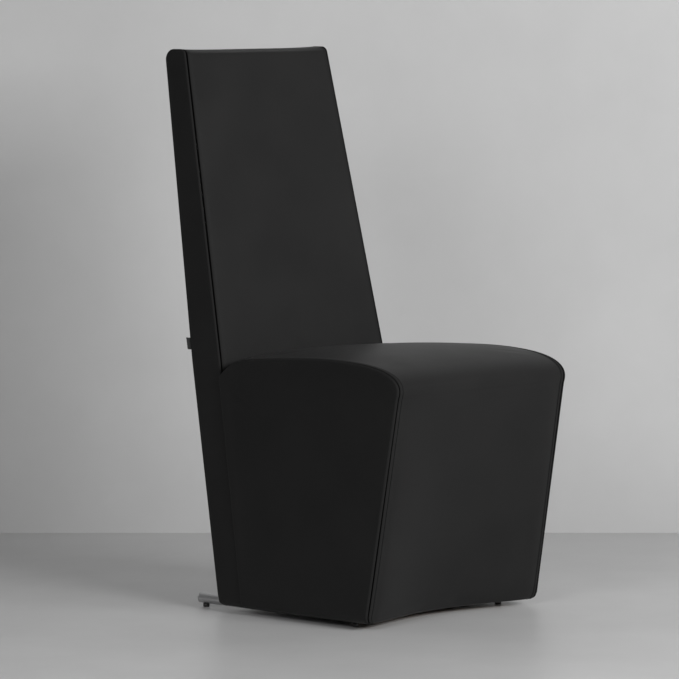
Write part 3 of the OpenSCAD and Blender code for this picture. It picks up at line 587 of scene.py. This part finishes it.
# Beside a seam the cover rises from a crease to a soft ridge. On the seat a row of stitches, 8 to
# 9 mm from the seam, ends the ridge. The back has no such row. For each distance from a seam these
# lists give the share of the crease's depth, the ridge's height, and the share of folding. Where the
# folding is 1 the faces are painted black: shade in the crease, and the dark stitch line deepened with
# painted shade.
lip_distance = [0, 0.0008, 0.0014, 0.0021, 0.0034, 0.0054, 0.0070, 0.0076, 0.0079, 0.0090, 0.0093, 0.0120]
lip_crease = [1, 1, 0.5, 0.05, 0, 0, 0, 0, 0, 0, 0, 0]
lip_ridge = [0, 0, 0, 0.0001, 0.0004, 0.0005, 0.0003, 0.0002, 0.0002, 0.0001, 0.0001, 0]
seat_folds = [1, 1, 1, 0.9, 0.8, 0.7, 0.6, 0.9, 1, 1, 0.9, 0]
back_folds = [1, 1, 1, 0.9, 0.8, 0.6, 0.4, 0.4, 0.3, 0.2, 0.2, 0]
middle_columns = 62


def across(half, seam):
    """Places across a cover: close together beside its two seams, even in between."""
    side = [half - seam - d for d in lip_distance]
    middle = np.linspace(-side[-1], side[-1], middle_columns + 2)[1:-1]
    return np.concatenate([-np.array(side), middle, side[::-1]])


def folds_across(lip_folds):
    return np.concatenate([lip_folds, np.zeros(middle_columns), lip_folds[::-1]])


def lip(distance, crease):
    """Depth of the cover's surface at a distance from a seam whose crease has this depth."""
    ridge = np.interp(distance, lip_distance, lip_ridge)
    return crease * np.interp(distance, lip_distance, lip_crease) - ridge


seat_turned_under = (0.011, 0.018, 0.025)
seat_rear_run = seat_joint_line[-3:-1] + seat_joint_corner
seat_front_run = seat_front_line + seat_toe + [(front_y(foot) + d, foot) for d in seat_turned_under]
seat_run = seat_rear_run + seat_top_line + seat_front_run
crown_shares = np.concatenate([
    np.ones(len(seat_rear_run)),
    np.cos(math.pi / 2 * seat_top_steps),
    np.zeros(len(seat_front_run)),
])
crease_fade_rows = 14


def run_normals(points):
    """Outward normals of an open side line that runs the same way round."""
    points = np.array(points)
    way = np.gradient(points, axis=0)
    way /= np.linalg.norm(way, axis=1)[:, None]
    return np.stack([way[:, 1], -way[:, 0]], 1)


def seat_surface(places_of, raise_by=None):
    """Rows of points across the seat cover. The crease beside its seams fades in from the joint."""
    normals = run_normals(seat_run)
    seam_depth = seat_edges["seam"][2]
    rows = []
    for i, (y, z) in enumerate(seat_run):
        half = seat_half(z)
        x = places_of(half)
        depth = lip(half - seat_inset - np.abs(x), seam_depth * min(1, i / crease_fade_rows))
        if raise_by is not None:
            depth = depth - raise_by(x / half, i / (len(seat_run) - 1))
        middle = 1 - np.abs(x / half) ** crown_curve
        drop = side_drop(y + corner_drop * joint_lean) * middle if crown_shares[i] else 0
        row_y = y - normals[i, 0] * depth + hollow(x, z) + drop * joint_lean
        row_z = z - normals[i, 1] * depth + seat_crown * crown_shares[i] * middle + drop
        rows.append(np.column_stack([x, row_y, row_z]))
    return np.array(rows)


def share_rise(rise):
    """The rise of a blown sheet, read by shares of the way across and along."""
    rows, columns = rise.shape

    def read(across_share, along_share):
        row = along_share * (rows - 1)
        low = min(int(row), rows - 2)
        line = rise[low] + (rise[low + 1] - rise[low]) * (row - low)
        return np.interp(across_share, np.linspace(-1, 1, columns), line)

    return read


blown_columns = 61
blown_margin = 0.006


def coarse_places(half):
    """Places across a sheet that is blown, which stops a little before the sides."""
    return np.linspace(-1, 1, blown_columns) * (half - blown_margin)


top_rise = share_rise(blown(seat_surface(coarse_places), cap=0.0025))
seat_grid = seat_surface(lambda half: across(half, seat_inset), top_rise)
seat_hide = mesh_from("seat_hide", seat_grid, closed=False, centre=seat_middle)
mark_folds_and_painted_shade(seat_hide, np.tile(folds_across(seat_folds), len(seat_run)))
make_leather(seat_hide, 0.8, "seat_cover")


# Side covers of the back: two long tapered hides that run from the floor to the round top.
# They are sewn to the front and rear covers and butt against the seat below it.
back_half_widths = (0.2405, 0.2295, 0.1975)
back_side_middle = (0, 0.17, 0.5)
seat_hides_to = 0.428
back_foot_round = 0.006
back_heel_round = 0.009
front_top_round = 0.0125
rear_top_round = 0.019
back_inset = 0.0052
back_edges = {
    "seam": (0.0030, 0.0022, 0.0011, 1.0),
    "hem": (0.0015, 0.0150, 0.0, 0.0),
    "joint": (0.0010, 0.0070, 0.0, 0.0),
}


def back_half(z):
    return np.interp(z, back_levels, back_half_widths) - foot_draw(z)


back_foot_front = (face_y(foot), foot)
back_foot_rear = (rear_y(foot), foot)
back_seam_end = (face_y(seat_hides_to), seat_hides_to)
back_knee = (face_y(seat_back_height), seat_back_height)
back_top_front = (face_y(top), top)
back_top_rear = (rear_y(top), top)
front_top_corner = corner_points(back_knee, back_top_front, back_top_rear, front_top_round, count=8)
rear_top_corner = corner_points(back_top_front, back_top_rear, back_foot_rear, rear_top_round, count=10)
back_heel = corner_points(back_top_rear, back_foot_rear, back_foot_front, back_heel_round, count=8)
back_toe = corner_points(back_foot_rear, back_foot_front, back_knee, back_foot_round, count=4)
back_parts = [
    (back_toe, "hem"),
    (line_points(back_foot_front, back_seam_end, count=60)[2:], "joint"),
    (line_points(back_seam_end, back_knee, count=6), "seam"),
    (line_points(back_knee, back_top_front, count=80)[:-2], "seam"),
    (front_top_corner, "seam"),
    (rear_top_corner, "seam"),
    (line_points(back_top_rear, back_foot_rear, count=140)[4:-2], "seam"),
    (back_heel, "seam"),
    (line_points(back_foot_rear, back_foot_front, count=9)[3:-2], "hem"),
]
back_parts = [(part[::-1], kind) for part, kind in back_parts[::-1]]
back_spine_low = 0.04
back_spine_high = 1.02
strip_rows = 130
strip_columns = 10
strip_margin = 0.02


def back_spine(z):
    level = spine_level(z, back_spine_low, back_spine_high)
    return (face_y(level) + rear_y(level)) / 2, level


def back_sheet(side):
    """A coarse sheet over the back's side: from the foot to the top, and from the face to the rear."""
    rows = []
    for z in np.linspace(foot + hem, top - strip_margin, strip_rows):
        way = np.linspace(face_y(z), rear_y(z), strip_columns)
        rows.append([(side * back_half(z), y, z) for y in way])
    return np.array(rows)


strip = back_sheet(-1)
back_side_swell = look_up(strip, blown(strip, cap=0.0016))
for side, name in ((-1, "right"), (1, "left")):
    panel, folds = side_panel(back_parts, back_edges, back_half, side, back_spine, back_side_swell)
    cover = mesh_from(f"back_side_hide_{name}", panel, closed=True, centre=back_side_middle,
                      weld=spine_weld)
    mark_folds_and_painted_shade(cover, folds)
    make_leather(cover, 0.85, f"back_side_cover_{name}")


# Front cover of the back: a hide from behind the seat up the face, over the round top and down to
# a seam just below the rear edge. It is drawn tight, so its top edge sags between the corners.
rear_seam_level = 1.014
face_swell = 0.003
top_sag = 0.0040
sag_start = 1.02
sag_rise = 0.03
tucked_heights = (0.412, 0.43, 0.45)


def back_surface(run, places_of, raise_by=None, seam_row=None):
    """Rows of points across a cover of the back. The cross seam lies at the seam row, if given."""
    normals = run_normals(run)
    seam_depth = back_edges["seam"][2]
    steps = np.linalg.norm(np.diff(np.array(run), axis=0), axis=1)
    along = np.concatenate([[0], np.cumsum(steps)])
    rows = []
    for i, (y, z) in enumerate(run):
        half = back_half(z)
        x = places_of(half)
        depth = lip(half - back_inset - np.abs(x), seam_depth)
        if seam_row is not None:
            depth = np.maximum(depth, lip(abs(along[seam_row] - along[i]), seam_depth))
        if raise_by is not None:
            depth = depth - raise_by(x / half, i / (len(run) - 1))
        middle = 1 - (x / half) ** 4
        height_share = np.clip((z - seat_back_height) / (top - seat_back_height), 0, 1)
        is_face = y < (face_y(z) + rear_y(z)) / 2
        swell = (face_swell * math.sin(math.pi * height_share) if is_face else 0) * middle
        sag = top_sag * np.clip((z - sag_start) / sag_rise, 0, 1) ** 2 * middle
        row_y = y - normals[i, 0] * depth - swell
        row_z = z - normals[i, 1] * depth - sag
        rows.append(np.column_stack([x, row_y, row_z]))
    return np.array(rows)


def rear_points(heights):
    return [(rear_y(z), z) for z in heights]


front_run = (
    [(face_y(z), z) for z in tucked_heights]
    + line_points(back_knee, back_top_front, count=90)[:-2]
    + front_top_corner
    + rear_top_corner
    + rear_points([rear_seam_level + d for d in lip_distance[::-1]])
)[::-1]
face_rise = share_rise(blown(back_surface(front_run, coarse_places), cap=0.0022))
face_grid = back_surface(front_run, lambda half: across(half, back_inset), face_rise, seam_row=0)
back_hide = mesh_from("back_front_hide", face_grid, closed=False, centre=(0, 0.2, 0.7))
mark_folds_and_painted_shade(back_hide, np.tile(folds_across(back_folds), len(front_run)))
make_leather(back_hide, 0.85, "back_front_cover")


# Rear cover: a plain hide over the pressed board, sewn to the side covers and to the top, turned
# under at the foot and notched there for the two runners.
rear_start = rear_seam_level - 0.018
rear_end = foot + 0.02
rear_turned_under = (0.014, 0.020)
rear_run = (
    rear_points([rear_seam_level - d for d in lip_distance])
    + rear_points(np.linspace(rear_start, rear_end, 150))
    + back_heel
    + [(rear_y(foot) - d, foot) for d in rear_turned_under]
)[::-1]
rear_rise = share_rise(blown(back_surface(rear_run, coarse_places), cap=0.0016))
rear_grid = back_surface(rear_run, lambda half: across(half, back_inset), rear_rise,
                         seam_row=len(rear_run) - 1)
rear_hide = mesh_from("back_rear_hide", rear_grid, closed=False, centre=(0, 0.1, 0.5))
mark_folds_and_painted_shade(rear_hide, np.tile(folds_across(back_folds), len(rear_run)))
make_leather(rear_hide, 0.85, "back_rear_cover")
runner_x = 0.2005
runner_z = 0.017
notch_radius = 0.0106
notch_length = 0.2
round_sides = 48
for side in (-1, 1):
    bpy.ops.mesh.primitive_cylinder_add(vertices=round_sides, radius=notch_radius, depth=notch_length,
                                        location=(side * runner_x, rear_foot_y, runner_z),
                                        rotation=(math.pi / 2, 0, 0))
    punch = bpy.context.object
    notch = rear_hide.modifiers.new("runner_notch", "BOOLEAN")
    notch.object = punch
    notch.operation = "DIFFERENCE"
    bpy.context.view_layer.update()
    notched = rear_hide.evaluated_get(bpy.context.evaluated_depsgraph_get())
    cut = bpy.data.meshes.new_from_object(notched)
    rear_hide.modifiers.clear()
    rear_hide.data = cut
    bpy.data.objects.remove(punch)


# Loop label: a short black ribbon, folded double and caught in the right rear seam of the back.
# It is left blank.
label_low = 0.489
label_high = 0.511
label_inset = 0.0021
label_gap = 0.0003
label_straight = 0.0085
label_fold = 0.0092
ribbon_half = 0.0006
ribbon_thickness = 0.0004
fray_depth = 0.0002
fray_turns = 5200
fold_start = 0.4


def ribbon_loop():
    """Rows of points up the ribbon. Each runs out from the seam, round the fold and back in."""
    x = -back_half((label_low + label_high) / 2) + label_inset
    rows = []
    for z in np.linspace(label_low, label_high, 12):
        start = rear_y(z) + label_gap
        fray = fray_depth * math.sin(z * fray_turns)
        row = [(x - ribbon_half, start, z), (x - ribbon_half, start + label_straight + fray, z)]
        for angle in np.linspace(fold_start, math.pi - fold_start, 6):
            out = start + label_fold + fray + ribbon_half * math.sin(angle)
            row.append((x - ribbon_half * math.cos(angle), out, z))
        row += [(x + ribbon_half, start + label_straight + fray, z), (x + ribbon_half, start, z)]
        rows.append(row)
    return np.array(rows)


ribbon = woven("black_ribbon", grey(0.008), grey(0.03), threads=2600, roughness=0.7)
label = mesh_from("seam_loop", ribbon_loop(), closed=False, centre=(-0.22, 0.2, 0.5))
thickness = label.modifiers.new("ribbon_thickness", "SOLIDIFY")
thickness.thickness = ribbon_thickness
label.data.materials.append(ribbon)
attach(label, "root")
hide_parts("seam_tab")


# The dust cover is a thin black cloth under the base board. The runners are bolted through it.
dust_cloth = woven("dust_cloth", (0.012, 0.012, 0.013), (0.035, 0.035, 0.037),
                   threads=1200, roughness=0.9)
dress("dust_cover", dust_cloth)


# Two runners of brushed stainless tube lie half sunk in the body and stand out behind its foot.
# Each end is closed by a turned steel plug with a soft rim.
brushed = grained("brushed_steel", (0.42, 0.42, 0.43), grey(0.6),
                  scale=60, roughness=0.3, bump=0.08, stretch=(30, 1, 30), metallic=1.0)
dress("runner_left runner_right", brushed)


def turned(name, profile, place, direction):
    """A turned piece: radius and distance pairs spun about its axis."""
    body = bmesh.new()
    turn = Vector((0, 0, 1)).rotation_difference(Vector(direction)).to_matrix()
    rings = []
    for radius, along in profile:
        ring = []
        for i in range(round_sides):
            angle = 2 * math.pi * i / round_sides
            spot = Vector((radius * math.cos(angle), radius * math.sin(angle), along))
            ring.append(body.verts.new(turn @ spot + Vector(place)))
        rings.append(ring)
    for low, high in zip(rings, rings[1:]):
        for i in range(round_sides):
            after = (i + 1) % round_sides
            body.faces.new((low[i], low[after], high[after], high[i]))
    body.faces.new(rings[0][::-1])
    body.faces.new(rings[-1])
    mesh = bpy.data.meshes.new(name)
    body.to_mesh(mesh)
    body.free()
    mesh.polygons.foreach_set("use_smooth", [len(f.vertices) == 4 for f in mesh.polygons])
    piece = bpy.data.objects.new(name, mesh)
    bpy.context.scene.collection.objects.link(piece)
    return piece


def joined(name, pieces):
    """Several like pieces as one object, as they share one node of the frame."""
    whole = bmesh.new()
    for piece in pieces:
        whole.from_mesh(piece.data)
        bpy.data.objects.remove(piece)
    mesh = bpy.data.meshes.new(name)
    whole.to_mesh(mesh)
    whole.free()
    result = bpy.data.objects.new(name, mesh)
    bpy.context.scene.collection.objects.link(result)
    return result


plug_low, plug_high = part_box("runner_plugs")
plug_head = 0.0015
plug_profile = [(0.0084, -0.006), (0.0084, 0.0), (0.0100, 0.0), (0.0100, 0.0007), (0.0098, 0.0011),
                (0.0094, 0.0014), (0.0088, plug_head), (0.0030, plug_head)]
plugs = []
for side in (-1, 1):
    for y, way_out in ((plug_high.y - plug_head, 1), (plug_low.y + plug_head, -1)):
        plugs.append(turned("plug", plug_profile, (side * runner_x, y, runner_z), (0, way_out, 0)))
plug_set = joined("runner_end_plugs", plugs)
plug_set.data.materials.append(brushed)
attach(plug_set, "root")
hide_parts("runner_plugs")


# Four moulded black glides are pushed into the undersides of the runners. Their feet are rounded
# and scuffed from the floor.
glide_plastic = grained("glide_plastic", grey(0.012), grey(0.03), scale=500, roughness=0.45, bump=0.15)
glide_low, glide_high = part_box("glides")
glide_radius = 0.006
glide_profile = [(0.0045, 0.0), (0.0052, 0.0002), (0.0058, 0.0008), (glide_radius, 0.0016),
                 (glide_radius, 0.0058), (0.0057, 0.0066), (0.0050, 0.0070), (0.0030, 0.0070),
                 (0.0030, 0.0110)]
glide_set = joined("glide_set", [
    turned("glide", glide_profile, (side * runner_x, y, 0), (0, 0, 1))
    for side in (-1, 1) for y in (glide_low.y + glide_radius, glide_high.y - glide_radius)
])
glide_set.data.materials.append(glide_plastic)
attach(glide_set, "root")
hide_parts("glides")


# The stage is a plain grey floor and a grey backdrop that stands square to the camera's heading.
# Both are clear from behind, so that neither hides the chair in a view from the rear or from below.
heading = 0.82645
eye = Vector((-6.2373, -5.6974, 1.2086))
ahead = Vector((math.sin(heading), math.cos(heading), 0))
right_hand = Vector((math.cos(heading), -math.sin(heading), 0))
backdrop_distance = 9.55
backdrop_height = 4
floor_reach = 9
stage_half_width = 6


def clear_from_behind(material):
    """Lets a sheet show on its front side only."""
    facing = node_in(material, "ShaderNodeNewGeometry")
    clear = node_in(material, "ShaderNodeBsdfTransparent")
    either = node_in(material, "ShaderNodeMixShader")
    surface = material.node_tree.nodes["Material Output"].inputs["Surface"]
    link_in(material, facing.outputs["Backfacing"], either.inputs["Fac"])
    link_in(material, shader_of(material).outputs["BSDF"], either.inputs[1])
    link_in(material, clear.outputs["BSDF"], either.inputs[2])
    link_in(material, either.outputs["Shader"], surface)


def plain_sheet(name, corners, dark, light, roughness):
    mesh = bpy.data.meshes.new(name)
    mesh.from_pydata([tuple(c) for c in corners], [], [(0, 1, 2, 3)])
    piece = bpy.data.objects.new(name, mesh)
    bpy.context.scene.collection.objects.link(piece)
    material = grained(name + "_finish", dark, light, scale=3, roughness=roughness, bump=0.02)
    clear_from_behind(material)
    piece.data.materials.append(material)


stage_line = Vector((eye.x, eye.y, 0)) + ahead * backdrop_distance
near_edge = stage_line - ahead * floor_reach
far_edge = stage_line + ahead * floor_reach
aside = right_hand * stage_half_width
up = Vector((0, 0, backdrop_height))
plain_sheet("floor", [near_edge - aside, near_edge + aside, far_edge + aside, far_edge - aside],
            grey(0.54), grey(0.6), roughness=0.4)
plain_sheet("backdrop", [stage_line - aside, stage_line + aside,
                         stage_line + aside + up, stage_line - aside + up],
            grey(0.5), grey(0.54), roughness=0.8)


# Soft studio light: a large panel before the chair's front, a weak one beside its right side, and
# a dim grey room, which the camera sees paler than it shines.
chair_middle = Vector((0, 0, 0.5))


def light_panel(name, place, width, height, power):
    lamp = bpy.data.lights.new(name, "AREA")
    lamp.shape = "RECTANGLE"
    lamp.size = width
    lamp.size_y = height
    lamp.energy = power
    stand = bpy.data.objects.new(name, lamp)
    stand.location = place
    stand.rotation_euler = (chair_middle - Vector(place)).to_track_quat("-Z", "Y").to_euler()
    bpy.context.scene.collection.objects.link(stand)


light_panel("front_panel", (-0.4, -4.6, 1.9), width=2.8, height=1.2, power=212)
light_panel("left_panel", (-4.1, -1.4, 2.1), width=2.0, height=1.0, power=54)
world = bpy.data.worlds.new("grey_room")
bpy.context.scene.world = world
world.use_nodes = True
room = world.node_tree.nodes["Background"]
room.inputs["Color"].default_value = (*grey(0.9), 1)
room.inputs["Strength"].default_value = 0.18
path = node_in(world, "ShaderNodeLightPath")
pale = node_in(world, "ShaderNodeBackground", Color=(*grey(0.5), 1), Strength=1.0)
seen = node_in(world, "ShaderNodeMixShader")
link_in(world, path.outputs["Is Camera Ray"], seen.inputs["Fac"])
link_in(world, room.outputs["Background"], seen.inputs[1])
link_in(world, pale.outputs["Background"], seen.inputs[2])
link_in(world, seen.outputs["Shader"], world.node_tree.nodes["World Output"].inputs["Surface"])


# The camera stands where the photograph was taken from, in front of the chair's right corner.
pitch_down = 0.08295
sensor_width = 36
focal_pixels = 4500
picture_pixels = 679
camera = bpy.data.cameras.new("camera")
camera.sensor_width = sensor_width
camera.lens = focal_pixels / picture_pixels * sensor_width
tripod = bpy.data.objects.new("camera", camera)
tripod.location = eye
tripod.rotation_euler = (math.pi / 2 - pitch_down, 0, -heading)
bpy.context.scene.collection.objects.link(tripod)
bpy.context.scene.camera = tripod
bpy.context.scene.view_settings.view_transform = "Standard"
